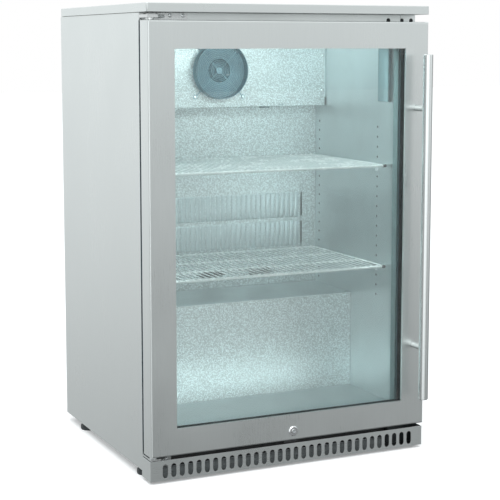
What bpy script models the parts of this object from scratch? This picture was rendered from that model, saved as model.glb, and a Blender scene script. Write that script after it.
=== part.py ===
"""Undercounter refrigerator with one hinged glass door: a stainless bottle cooler, 600 x 520 x 900 mm.

Every sub-part is one object. X runs to the right, Y to the back, Z up. All shapes are drawn in the cabinet's
own frame, whose Y = 0 is the front edge of the worktop, and hang from one empty that puts the middle of the
whole object's footprint at the world origin. Moving pieces hang from empties on their joint axes.
"""

import math

import bmesh
import bpy
from mathutils import Matrix, Vector

MM = 0.001
GAP = 0.3 * MM  # running gap between pieces that touch

# ---- driving dimensions ----
WIDTH = 600 * MM
HEIGHT = 900 * MM
WORKTOP_DEPTH = 510 * MM
WORKTOP_THICK = 16.6 * MM
BODY_FRONT = 48 * MM
BODY_BACK = 520 * MM
BODY_HALF = 297 * MM
BODY_BOTTOM = 15.6 * MM
SHEET = 1 * MM
TOP_SHEET = 1.2 * MM
FLANGE = 34 * MM  # front flange of a side panel

INNER_HALF = 258 * MM  # clear half width of the compartment
FLOOR_Z = 85.6 * MM
CEILING_Z = 845 * MM
LINER_FRONT = 66.3 * MM
LINER_BACK = 455 * MM
STEP_FRONT = 235 * MM
STEP_Z = 290 * MM
DUCT_Y = 403 * MM
LOUVRES = 38
LOUVRE_PITCH = 12 * MM
LOUVRE_SLOT = 4 * MM
LOUVRE_ROWS = ((377 * MM, 429 * MM), (441 * MM, 493 * MM))
MACHINE_FRONT = 274 * MM
MACHINE_TOP = 251 * MM

DOOR_HALF = 297.8 * MM
DOOR_LOW = 52.7 * MM
DOOR_HIGH = 868.6 * MM
DOOR_FRONT = -2 * MM
DOOR_BACK = 38 * MM
RAIL = 52 * MM  # visible width of the steel round the glass
HINGE_X = -287.8 * MM
HINGE_Y = 14 * MM
HINGE_PIN_R = 4 * MM

BAR_X = 272.8 * MM
BAR_Y = -41 * MM
BAR_R = 10 * MM
BAR_LOW = 114 * MM
BAR_HIGH = 805 * MM
POST_R = 6 * MM
POST_Z = (219 * MM, 699 * MM)

LOCK_Z = 71 * MM
GRILLE_HALF = 298.5 * MM
GRILLE_LOW = 5.5 * MM
GRILLE_HIGH = 44.8 * MM
GRILLE_FRONT = 3 * MM
SLOTS = 32
SLOT_PITCH = 17.3 * MM

SHELF_Z = {"lower": 369 * MM, "upper": 578 * MM}
SHELF_FRONT = 83 * MM
SHELF_BACK = 400 * MM
SHELF_HALF = 254.5 * MM
WIRE_PITCH = 12.8 * MM
WIRE = 3 * MM
HOLE_COLUMNS = (128 * MM, 384 * MM)
HOLE_PITCH = 20.7 * MM
HOLE_LOW = 303 * MM
HOLES = 18
HOLE_R = 2.6 * MM

FAN_Z = 769 * MM
COVER_FRONT = 357 * MM
COVER_LOW = 691 * MM
COVER_HALF = 255.5 * MM
GUARD_R = 61 * MM
FAN_OPENING_R = 58.5 * MM

FEET = [(side * 278 * MM, y) for side in (-1, 1) for y in (80 * MM, 425 * MM)]
COMPRESSOR = (110 * MM, 400 * MM)
CONDENSER_FAN = (-112 * MM, 395 * MM, 130 * MM)
DRAIN = (-190 * MM, 430 * MM)
RISER_PIPE = (225 * MM, 430 * MM)

ORIGIN_Y = (BAR_Y - BAR_R + BODY_BACK) / 2  # middle of the footprint, from handle to back

STAINLESS = ("stainless", (0.60, 0.64, 0.64), 0.32, 1.0)
GALVANISED = ("galvanised", (0.50, 0.52, 0.53), 0.45, 1.0)
ALUMINIUM = ("liner_aluminium", (0.72, 0.80, 0.80), 0.38, 1.0)
EMBOSSED = ("embossed_aluminium", (0.76, 0.84, 0.84), 0.30, 1.0)
WHITE_WIRE = ("coated_wire", (0.86, 0.91, 0.90), 0.40, 0.0)
BLACK_STEEL = ("black_steel", (0.03, 0.03, 0.03), 0.45, 0.3)
BLACK_PLASTIC = ("black_plastic", (0.03, 0.04, 0.045), 0.45, 0.0)
GREY_PLASTIC = ("grey_plastic", (0.22, 0.36, 0.38), 0.50, 0.0)
RUBBER = ("rubber", (0.02, 0.02, 0.022), 0.75, 0.0)
GLASS = ("glass", (0.80, 0.92, 0.90), 0.03, 0.0)
FOAM = ("foam", (0.85, 0.80, 0.60), 0.90, 0.0)
COPPER = ("copper", (0.72, 0.38, 0.24), 0.30, 1.0)
CHROME = ("chrome", (0.80, 0.82, 0.83), 0.10, 1.0)
LENS = ("lens", (0.92, 0.95, 0.96), 0.30, 0.0)


# ---- helpers ----
def clear_scene():
    for obj in list(bpy.data.objects):
        bpy.data.objects.remove(obj, do_unlink=True)


def look(spec):
    """The Principled material of this name, made once."""
    name, colour, roughness, metallic = spec
    material = bpy.data.materials.get(name)
    if material is None:
        material = bpy.data.materials.new(name)
        material.use_nodes = True
        shader = material.node_tree.nodes["Principled BSDF"]
        shader.inputs["Base Color"].default_value = (*colour, 1)
        shader.inputs["Roughness"].default_value = roughness
        shader.inputs["Metallic"].default_value = metallic
        material.diffuse_color = (*colour, 1)
    return material


def pivot(name, location, parent=None):
    """An empty at a place in the cabinet's frame."""
    obj = bpy.data.objects.new(name, None)
    bpy.context.scene.collection.objects.link(obj)
    obj.parent = parent
    obj.location = location
    return obj


def place(name, shape, spec, parent, smooth=False):
    """Make the named object from a bmesh drawn in the cabinet's frame, hanging from an empty."""
    mesh = bpy.data.meshes.new(name)
    shape.to_mesh(mesh)
    shape.free()
    mesh.materials.append(look(spec))
    if smooth:
        mesh.shade_smooth()
        mesh.set_sharp_from_angle(angle=math.radians(35))
    obj = bpy.data.objects.new(name, mesh)
    bpy.context.scene.collection.objects.link(obj)
    obj.parent = parent
    if parent is not cabinet:
        obj.data.transform(Matrix.Translation(-parent.location))
    return obj


def pipe(name, route, radius, spec, parent):
    """A bent tube along a smooth curve through the route's points."""
    curve = bpy.data.curves.new(name, "CURVE")
    curve.dimensions = "3D"
    curve.bevel_depth = radius
    curve.bevel_resolution = 1
    curve.use_fill_caps = True
    points = smooth_route([Vector(p) for p in route], 4)
    spline = curve.splines.new("POLY")
    spline.points.add(len(points) - 1)
    for target, point in zip(spline.points, points):
        target.co = (*point, 1)
    curve.materials.append(look(spec))
    obj = bpy.data.objects.new(name, curve)
    bpy.context.scene.collection.objects.link(obj)
    obj.parent = parent
    return obj


def smooth_route(route, pieces):
    """Catmull-Rom curve through every point of the route."""
    points = []
    ends = [route[0] * 2 - route[1], *route, route[-1] * 2 - route[-2]]
    for a, b, c, d in zip(ends, ends[1:], ends[2:], ends[3:]):
        for i in range(pieces):
            t = i / pieces
            points.append(0.5 * (2 * b + (c - a) * t + (2 * a - 5 * b + 4 * c - d) * t**2
                                 + (3 * b - a - 3 * c + d) * t**3))
    return [*points, route[-1]]


def box(low, high):
    """A plain block between two corners."""
    shape = bmesh.new()
    bmesh.ops.create_cube(shape, size=1)
    for vert in shape.verts:
        vert.co = [low[i] + (vert.co[i] + 0.5) * (high[i] - low[i]) for i in range(3)]
    return shape


def prism(outline, low, high, plane, holes=()):
    """A flat outline with holes, drawn in one plane and extruded along the third axis from low to high."""
    first, second, third = {"XY": (0, 1, 2), "XZ": (0, 2, 1), "YZ": (1, 2, 0)}[plane]
    shape = bmesh.new()
    edges = []
    for loop in [outline, *holes]:
        verts = []
        for u, v in loop:
            point = [0.0, 0.0, 0.0]
            point[first], point[second], point[third] = u, v, low
            verts.append(shape.verts.new(point))
        edges += [shape.edges.new(pair) for pair in zip(verts, verts[1:] + verts[:1])]
    filled = bmesh.ops.triangle_fill(shape, edges=edges, use_beauty=True)
    faces = [item for item in filled["geom"] if isinstance(item, bmesh.types.BMFace)]
    grown = bmesh.ops.extrude_face_region(shape, geom=faces)
    move = [0.0, 0.0, 0.0]
    move[third] = high - low
    far_verts = [item for item in grown["geom"] if isinstance(item, bmesh.types.BMVert)]
    bmesh.ops.translate(shape, verts=far_verts, vec=move)
    bmesh.ops.recalc_face_normals(shape, faces=shape.faces)
    return shape


def turned(profile, centre, axis="Z", steps=24):
    """Turn a closed (radius, height) profile about an axis through the centre; radius 0 makes a pole."""
    turn = {"Z": Matrix.Identity(3), "Y": Matrix.Rotation(math.radians(-90), 3, "X"),
            "X": Matrix.Rotation(math.radians(90), 3, "Y")}[axis]
    shape = bmesh.new()
    rings = []
    for radius, height in profile:
        count = steps if radius > 0 else 1
        ring = []
        for i in range(count):
            angle = math.tau * i / steps
            point = Vector((radius * math.cos(angle), radius * math.sin(angle), height))
            ring.append(shape.verts.new(turn @ point + Vector(centre)))
        rings.append(ring)
    for one, two in zip(rings, rings[1:] + rings[:1]):
        for i in range(steps):
            j = (i + 1) % steps
            if len(one) == 1 and len(two) == 1:
                continue
            if len(one) == 1:
                shape.faces.new((one[0], two[i], two[j]))
            elif len(two) == 1:
                shape.faces.new((one[i], two[0], one[j]))
            else:
                shape.faces.new((one[i], two[i], two[j], one[j]))
    bmesh.ops.recalc_face_normals(shape, faces=shape.faces)
    return shape


def rod(radius, start, end, centre, axis="Z", steps=24):
    return turned([(0, start), (radius, start), (radius, end), (0, end)], centre, axis, steps)


def frame_loop(profile, half_width, low, high):
    """Sweep a closed (inset, y) profile round a rectangle, with mitred corners."""
    shape = bmesh.new()
    rings = []
    for inset, y in profile:
        x = half_width - inset
        corners = [(-x, low + inset), (x, low + inset), (x, high - inset), (-x, high - inset)]
        rings.append([shape.verts.new((cx, y, cz)) for cx, cz in corners])
    for one, two in zip(rings, rings[1:] + rings[:1]):
        for i in range(4):
            j = (i + 1) % 4
            shape.faces.new((one[i], one[j], two[j], two[i]))
    bmesh.ops.recalc_face_normals(shape, faces=shape.faces)
    return shape


def combine(base, others, operation):
    """Boolean of solids, as a new bmesh; the operands are used up."""
    target, *tools = [temporary(shape) for shape in [base, *others]]
    for tool in tools:
        step = target.modifiers.new("combine", "BOOLEAN")
        step.operation = operation
        step.solver = "EXACT"
        step.object = tool
    result = bmesh.new()
    result.from_object(target, bpy.context.evaluated_depsgraph_get())
    for obj in [target, *tools]:
        bpy.data.objects.remove(obj, do_unlink=True)
    return result


def temporary(shape):
    mesh = bpy.data.meshes.new("operand")
    shape.to_mesh(mesh)
    shape.free()
    obj = bpy.data.objects.new("operand", mesh)
    bpy.context.scene.collection.objects.link(obj)
    return obj


def many(shapes):
    """Several separate solids as one bmesh, for cutting many holes at once."""
    whole = bmesh.new()
    for shape in shapes:
        mesh = bpy.data.meshes.new("part")
        shape.to_mesh(mesh)
        shape.free()
        whole.from_mesh(mesh)
        bpy.data.meshes.remove(mesh)
    return whole


def rectangle(u0, v0, u1, v1):
    return [(u0, v0), (u1, v0), (u1, v1), (u0, v1)]


def circle(cu, cv, radius, steps):
    return [(cu + radius * math.cos(math.tau * i / steps), cv + radius * math.sin(math.tau * i / steps))
            for i in range(steps)]


def rounded(u0, v0, u1, v1, radius, steps=3):
    """A rectangle with round corners; a radius of half its width gives an oblong."""
    points = []
    corners = [(u1 - radius, v1 - radius), (u0 + radius, v1 - radius), (u0 + radius, v0 + radius),
               (u1 - radius, v0 + radius)]
    for quarter, (cu, cv) in enumerate(corners):
        for i in range(steps + 1):
            angle = math.radians(90) * (quarter + i / steps)
            point = (cu + radius * math.cos(angle), cv + radius * math.sin(angle))
            if not points or math.dist(point, points[-1]) > 0.01 * MM:
                points.append(point)
    if math.dist(points[0], points[-1]) < 0.01 * MM:
        points.pop()
    return points


# ---- outer cabinet ----
def make_worktop():
    """Folded sheet pan, open below where the foam rises into it, with a return flange under its front."""
    low = HEIGHT - WORKTOP_THICK
    half = WIDTH / 2
    shape = prism(rounded(-half, 0, half, WORKTOP_DEPTH, 3 * MM), low, HEIGHT, "XY")
    top_edges = [e for e in shape.edges if all(v.co.z > HEIGHT - MM for v in e.verts)
                 and len(e.link_faces) == 2 and e.calc_face_angle(0) > 1]
    bmesh.ops.bevel(shape, geom=top_edges, offset=1.2 * MM, segments=2, affect="EDGES", profile=0.5)
    wall = TOP_SHEET
    room = box((-half + wall, wall, low + wall), (half - wall, WORKTOP_DEPTH - wall, HEIGHT - wall))
    mouth = box((-half + wall, BODY_FRONT - 2 * MM, low - MM),
                (half - wall, WORKTOP_DEPTH - wall, low + 2 * wall))
    place("worktop", combine(shape, [combine(room, [mouth], "UNION")], "DIFFERENCE"), STAINLESS, cabinet)


def make_side_panel(side):
    """Folded sheet with a wide front flange and a short rear one; the right has two hinge-reversal holes."""
    top = HEIGHT - WORKTOP_THICK - GAP
    inner = BODY_HALF - SHEET
    outline = [(BODY_HALF, BODY_FRONT), (BODY_HALF - FLANGE, BODY_FRONT),
               (BODY_HALF - FLANGE, BODY_FRONT + SHEET), (inner, BODY_FRONT + SHEET),
               (inner, BODY_BACK - SHEET), (BODY_HALF - 13 * MM, BODY_BACK - SHEET),
               (BODY_HALF - 13 * MM, BODY_BACK), (BODY_HALF, BODY_BACK)]
    shape = prism([(side * x, y) for x, y in outline], BODY_BOTTOM, top, "XY")
    if side > 0:
        cutters = many([rod(4.5 * MM, -2 * MM, 2 * MM, (x, BODY_FRONT, 872 * MM), "Y", 12)
                        for x in (265.9 * MM, 287.4 * MM)])
        shape = combine(shape, [cutters], "DIFFERENCE")
    place("side_panel_right" if side > 0 else "side_panel_left", shape, STAINLESS, cabinet)


def make_front_beams():
    """Fascia above the opening and sill below it, both folded; the sill carries the lock's keeper tab."""
    half = BODY_HALF - FLANGE - GAP
    top = HEIGHT - WORKTOP_THICK - GAP
    front, back = BODY_FRONT, BODY_FRONT + SHEET
    low = CEILING_Z + 5 * MM
    profile = [(front, low), (back, low), (back, top - SHEET), (front + 12 * MM, top - SHEET),
               (front + 12 * MM, top), (front, top)]
    fascia = combine(prism(profile, -half, half, "YZ"),
                     [rod(4.5 * MM, -2 * MM, 2 * MM, (234.7 * MM, front, 872 * MM), "Y", 12)], "DIFFERENCE")
    place("front_fascia", fascia, STAINLESS, cabinet)

    low, high = BODY_BOTTOM + 2.4 * MM, FLOOR_Z - 5 * MM
    profile = [(front, low), (front + 12 * MM, low), (front + 12 * MM, low + SHEET), (back, low + SHEET),
               (back, high), (front, high)]
    tab_z, lip_y, lip, sheet = 45.3 * MM, 8 * MM, 6.2 * MM, 1.2 * MM
    tab = [(front + 0.5 * MM, tab_z), (front + 0.5 * MM, tab_z + sheet), (lip_y + sheet, tab_z + sheet),
           (lip_y + sheet, tab_z + lip), (lip_y, tab_z + lip), (lip_y, tab_z)]
    sill = combine(prism(profile, -half, half, "YZ"), [prism(tab, -16 * MM, 16 * MM, "YZ")], "UNION")
    place("front_sill", sill, STAINLESS, cabinet)


def make_breaker_strip():
    """Dark plastic profile round the opening: thermal break between the steel front and the liner."""
    profile = [(0, BODY_FRONT + 0.2 * MM), (0, LINER_FRONT - GAP), (-1.5 * MM, LINER_FRONT - GAP),
               (-1.5 * MM, BODY_FRONT + 1.6 * MM), (-4.6 * MM, BODY_FRONT + 1.6 * MM),
               (-4.6 * MM, BODY_FRONT + 0.2 * MM)]
    place("breaker_strip", frame_loop(profile, INNER_HALF, FLOOR_Z, CEILING_Z), BLACK_PLASTIC, cabinet)


def make_rear_and_base():
    half = BODY_HALF - 13 * MM - GAP
    top = HEIGHT - WORKTOP_THICK - GAP
    back = BODY_BACK - SHEET
    folded = [(back, 270 * MM), (BODY_BACK, 270 * MM), (BODY_BACK, top), (BODY_BACK - 15 * MM, top),
              (BODY_BACK - 15 * MM, top - SHEET), (back, top - SHEET)]
    place("rear_panel", prism(folded, -half, half, "YZ"), GALVANISED, cabinet)
    louvres = [rectangle(x - 32 * MM, z - 2.5 * MM, x + 32 * MM, z + 2.5 * MM)
               for x in (-150 * MM, 0, 150 * MM) for z in [(70 + 16 * i) * MM for i in range(11)]]
    inlet = [circle(250 * MM, 45 * MM, 8 * MM, 16)]
    cover = prism(rectangle(-half, 20 * MM, half, 270 * MM - GAP), back, BODY_BACK, "XZ", louvres + inlet)
    place("machine_cover", cover, GALVANISED, cabinet)

    half = BODY_HALF - SHEET - GAP
    holes = [circle(x, y, 4.5 * MM, 12) for x, y in FEET]
    pan = prism(rectangle(-half, BODY_FRONT + SHEET + GAP, half, back - GAP), BODY_BOTTOM,
                BODY_BOTTOM + 2 * MM, "XY", holes)
    place("base_pan", pan, GALVANISED, cabinet)

    gland = turned([(8 * MM - GAP, 0), (8 * MM - GAP, -1.3 * MM), (11 * MM, -1.3 * MM), (11 * MM, -6 * MM),
                    (4 * MM, -6 * MM), (4 * MM, 0)], (250 * MM, BODY_BACK, 45 * MM), "Y", 16)
    place("power_cord_gland", gland, RUBBER, cabinet, smooth=True)


def make_insulation():
    """Foamed-in-place insulation between shell and liner, stepped over the machine compartment."""
    half = BODY_HALF - SHEET - GAP
    block = box((-half, BODY_FRONT + 2.6 * MM, 19.3 * MM), (half, BODY_BACK - SHEET - GAP, 881.8 * MM))
    wall = TOP_SHEET + GAP
    top_fill = box((-WIDTH / 2 + wall, wall, HEIGHT - WORKTOP_THICK + wall),
                   (WIDTH / 2 - wall, WORKTOP_DEPTH - wall, HEIGHT - wall))
    neck = box((-half + MM, BODY_FRONT + 13 * MM, 880 * MM), (half - MM, BODY_BACK - 16 * MM, 890 * MM))
    block = combine(block, [top_fill, neck], "UNION")
    out = SHEET + GAP
    cavity = [(0, FLOOR_Z - out), (STEP_FRONT + out, FLOOR_Z - out), (STEP_FRONT + out, STEP_Z - out),
              (LINER_BACK + out, STEP_Z - out), (LINER_BACK + out, CEILING_Z + out), (0, CEILING_Z + out)]
    strip = 2 * MM
    cutters = [
        prism(cavity, -INNER_HALF - out, INNER_HALF + out, "YZ"),
        box((-WIDTH, MACHINE_FRONT, 0), (WIDTH, BODY_BACK + MM, MACHINE_TOP)),
        box((-INNER_HALF - strip, 0, FLOOR_Z - strip),
            (INNER_HALF + strip, LINER_FRONT + GAP, CEILING_Z + strip)),
        rod(8 * MM, 240 * MM, 300 * MM, (*DRAIN, 0), "Z", 12),
        rod(6 * MM, 240 * MM, 300 * MM, (*RISER_PIPE, 0), "Z", 12),
        *[rod(6 * MM, 0, 32 * MM, (x, y, 0), "Z", 12) for x, y in FEET if y < MACHINE_FRONT],
        box((-WIDTH, 0, 0), (WIDTH, BODY_FRONT + 12.5 * MM, 19.6 * MM)),
    ]
    place("cabinet_insulation", combine(block, cutters, "DIFFERENCE"), FOAM, cabinet)


def make_kick_grille():
    """Folded plinth with side and bottom returns and a row of oblong air slots."""
    sheet = 1.2 * MM
    middle, radius, reach = 23.6 * MM, 5.25 * MM, 13.7 * MM
    slots = []
    for i in range(SLOTS):
        x = (i - (SLOTS - 1) / 2) * SLOT_PITCH
        slots.append(rounded(x - radius, middle - reach, x + radius, middle + reach, radius, 2))
    front = prism(rectangle(-GRILLE_HALF, GRILLE_LOW, GRILLE_HALF, GRILLE_HIGH), GRILLE_FRONT,
                  GRILLE_FRONT + sheet, "XZ", slots)
    returns = [box((-GRILLE_HALF, GRILLE_FRONT, GRILLE_LOW),
                   (GRILLE_HALF, BODY_FRONT - 2 * MM, GRILLE_LOW + sheet))]
    for side in (-1, 1):
        near, far = sorted((side * (GRILLE_HALF - sheet), side * GRILLE_HALF))
        returns.append(box((near, GRILLE_FRONT, GRILLE_LOW), (far, BODY_FRONT - GAP, GRILLE_HIGH)))
    place("kick_grille", combine(front, returns, "UNION"), STAINLESS, cabinet)


# ---- liner ----
def make_liner():
    """Side walls with shelf holes, wrapped ceiling and back, floor, and the two sheets of the step."""
    outline = [(LINER_FRONT, FLOOR_Z - SHEET), (STEP_FRONT + SHEET, FLOOR_Z - SHEET),
               (STEP_FRONT + SHEET, STEP_Z - SHEET), (LINER_BACK + SHEET, STEP_Z - SHEET),
               (LINER_BACK + SHEET, CEILING_Z + SHEET), (LINER_FRONT, CEILING_Z + SHEET)]
    for side, name in ((-1, "liner_left"), (1, "liner_right")):
        holes = [circle(y, HOLE_LOW + HOLE_PITCH * i, HOLE_R, 6) for y in HOLE_COLUMNS for i in range(HOLES)]
        wall = prism(outline, side * INNER_HALF, side * (INNER_HALF + SHEET), "YZ", holes)
        place(name, wall, ALUMINIUM, cabinet)
    half = INNER_HALF - GAP
    wrap = [(LINER_FRONT, CEILING_Z), (LINER_BACK, CEILING_Z), (LINER_BACK, STEP_Z - SHEET),
            (LINER_BACK + SHEET, STEP_Z - SHEET), (LINER_BACK + SHEET, CEILING_Z + SHEET),
            (LINER_FRONT, CEILING_Z + SHEET)]
    place("liner_ceiling_and_back", prism(wrap, -half, half, "YZ"), ALUMINIUM, cabinet)
    place("liner_floor", box((-half, LINER_FRONT, FLOOR_Z - SHEET), (half, STEP_FRONT - GAP, FLOOR_Z)),
          ALUMINIUM, cabinet)
    place("step_front", box((-half, STEP_FRONT, FLOOR_Z - SHEET),
                            (half, STEP_FRONT + SHEET, STEP_Z - SHEET - GAP)), EMBOSSED, cabinet)
    holes = [circle(*DRAIN, 8 * MM, 12), circle(*RISER_PIPE, 6 * MM, 12)]
    top = prism(rectangle(-half, STEP_FRONT, half, LINER_BACK - GAP), STEP_Z - SHEET, STEP_Z, "XY", holes)
    place("step_top", top, ALUMINIUM, cabinet)


def make_duct_panel():
    """Embossed panel before the rear air duct: two rows of louvre slots, three oblong outlets below."""
    half = INNER_HALF - GAP
    holes = []
    for i in range(LOUVRES):
        x = (i - (LOUVRES - 1) / 2) * LOUVRE_PITCH
        for low, high in LOUVRE_ROWS:
            holes.append(rectangle(x - LOUVRE_SLOT / 2, low, x + LOUVRE_SLOT / 2, high))
    for x in (-120 * MM, 0, 120 * MM):
        holes.append(rounded(x - 30 * MM, 313 * MM, x + 30 * MM, 327 * MM, 7 * MM, 3))
    outline = rectangle(-half, STEP_Z + GAP, half, COVER_LOW - GAP)
    place("duct_panel", prism(outline, DUCT_Y, DUCT_Y + SHEET, "XZ", holes), EMBOSSED, cabinet)


def make_evaporator():
    """Embossed cover box with fan guard; behind it coil, drip tray and fan motor on its bracket."""
    sheet = 1.2 * MM
    low, high = COVER_LOW, CEILING_Z - GAP
    front = prism(rectangle(-COVER_HALF, low, COVER_HALF, high), COVER_FRONT, COVER_FRONT + sheet, "XZ",
                  [circle(0, FAN_Z, FAN_OPENING_R, 32)])
    folds = []
    for side, notch in ((-1, 0), (1, 18 * MM)):  # the right fold stops short of the bottom, for the pipes
        near, far = sorted((side * (COVER_HALF - sheet), side * COVER_HALF))
        folds.append(prism(rectangle(near, COVER_FRONT, far, LINER_BACK - 2 * MM), low + notch, high, "XY"))
    bottom = box((-COVER_HALF, COVER_FRONT, low), (COVER_HALF, DUCT_Y - GAP, low + sheet))
    place("evaporator_cover", combine(front, [*folds, bottom], "UNION"), EMBOSSED, cabinet)

    wire = 1.6 * MM
    guard_y = COVER_FRONT - GAP - wire
    rings = []
    for i in range(1, 6):
        r = GUARD_R * i / 5
        ring = [(r - wire, 0), (r, 0), (r, wire), (r - wire, wire)]
        rings.append(turned(ring, (0, guard_y, FAN_Z), "Y", 20))
    arm = 79 * MM
    arms = []
    for angle in (45, -45):
        bar = box((-arm, guard_y + 0.2 * MM, -0.9 * MM), (arm, guard_y + 1.4 * MM, 0.9 * MM))
        lugs = [rod(4 * MM, 0, 1.4 * MM, (s * arm, guard_y + 0.1 * MM, 0), "Y", 8) for s in (-1, 1)]
        bar = combine(bar, lugs, "UNION")
        bar.transform(Matrix.Translation((0, 0, FAN_Z)) @ Matrix.Rotation(math.radians(angle), 4, "Y"))
        arms.append(bar)
    place("evaporator_fan_guard", combine(arms[0], [arms[1], *rings], "UNION"), BLACK_STEEL, cabinet)

    fins, pitch, depth = 22, 16 * MM, 44 * MM
    left, coil_front = -200 * MM, 407 * MM
    outline = [(left, coil_front + depth), (left, coil_front)]
    for i in range(fins):
        x = left + i * pitch
        outline += [(x + 9 * MM, coil_front), (x + 9 * MM, coil_front + depth - 8 * MM),
                    (x + pitch, coil_front + depth - 8 * MM), (x + pitch, coil_front)]
    right = left + fins * pitch + 9 * MM
    outline += [(right, coil_front), (right, coil_front + depth)]
    place("evaporator_coil", prism(outline, 706 * MM, 832 * MM, "XY"), ALUMINIUM, cabinet)

    tray = box((-212 * MM, 405 * MM, 693 * MM), (190 * MM, 454 * MM, 705 * MM))
    hollow = box((-210.5 * MM, 406.5 * MM, 694.5 * MM), (188.5 * MM, 452.5 * MM, 710 * MM))
    drain = rod(5 * MM, 690 * MM, 700 * MM, (*DRAIN, 0), "Z", 12)
    place("evaporator_drip_tray", combine(tray, [hollow, drain], "DIFFERENCE"), GREY_PLASTIC, cabinet)
    pipe("drain_tube", [(*DRAIN, z * MM) for z in (692.7, 560, 430, 300, 170, 62)], 5 * MM,
         GREY_PLASTIC, cabinet)

    motor = turned([(0, 381 * MM), (28 * MM, 381 * MM), (30 * MM, 385 * MM), (30 * MM, 398 * MM),
                    (24 * MM, 402 * MM), (0, 402 * MM)], (0, 0, FAN_Z), "Y", 20)
    start = COVER_FRONT + sheet + GAP
    end = start + 1.5 * MM
    strap = prism([(-80 * MM, start), (-66 * MM, start), (-66 * MM, 384 * MM), (66 * MM, 384 * MM),
                   (66 * MM, start), (80 * MM, start), (80 * MM, end), (67.5 * MM, end),
                   (67.5 * MM, 385.5 * MM), (-67.5 * MM, 385.5 * MM), (-67.5 * MM, end), (-80 * MM, end)],
                  FAN_Z - 8 * MM, FAN_Z + 8 * MM, "XY")
    place("evaporator_fan_motor", combine(motor, [strap], "UNION"), BLACK_STEEL, cabinet)


def blades(count, hub_r, tip_r, hub_length, pitch_angle):
    """Axial fan about the Y axis through the origin: a hub with twisted flat blades."""
    shapes = []
    for i in range(count):
        blade = box((hub_r - 2 * MM, -0.6 * MM, -0.30 * tip_r), (tip_r, 0.6 * MM, 0.30 * tip_r))
        long_edges = [e for e in blade.edges if e.calc_length() > 0.9 * (tip_r - hub_r)
                      and abs(e.verts[0].co.x - e.verts[1].co.x) > MM]
        bmesh.ops.subdivide_edges(blade, edges=long_edges, cuts=2)
        for vert in blade.verts:
            reach = (vert.co.x - hub_r) / (tip_r - hub_r)
            vert.co = Matrix.Rotation(math.radians(pitch_angle * (1.2 - 0.5 * reach)), 3, "X") @ vert.co
        bmesh.ops.triangulate(blade, faces=blade.faces)
        blade.transform(Matrix.Rotation(math.tau * i / count, 4, "Y"))
        shapes.append(blade)
    hub = rod(hub_r, -hub_length / 2, hub_length / 2, (0, 0, 0), "Y", 20)
    return combine(hub, shapes, "UNION")


def make_fan_blades():
    centre = Vector((0, 370 * MM, FAN_Z))
    shape = blades(5, 18 * MM, 55 * MM, 14 * MM, 24)
    shape.transform(Matrix.Translation(centre))
    place("evaporator_fan_blade", shape, GREY_PLASTIC, pivot("evaporator_fan_axis", centre, cabinet))

    centre = Vector(CONDENSER_FAN)
    shape = blades(5, 22 * MM, 92 * MM, 20 * MM, 24)
    shape.transform(Matrix.Translation(centre) @ Matrix.Rotation(math.radians(90), 4, "Z"))
    place("condenser_fan_blade", shape, ALUMINIUM, pivot("condenser_fan_axis", centre, cabinet))


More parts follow.
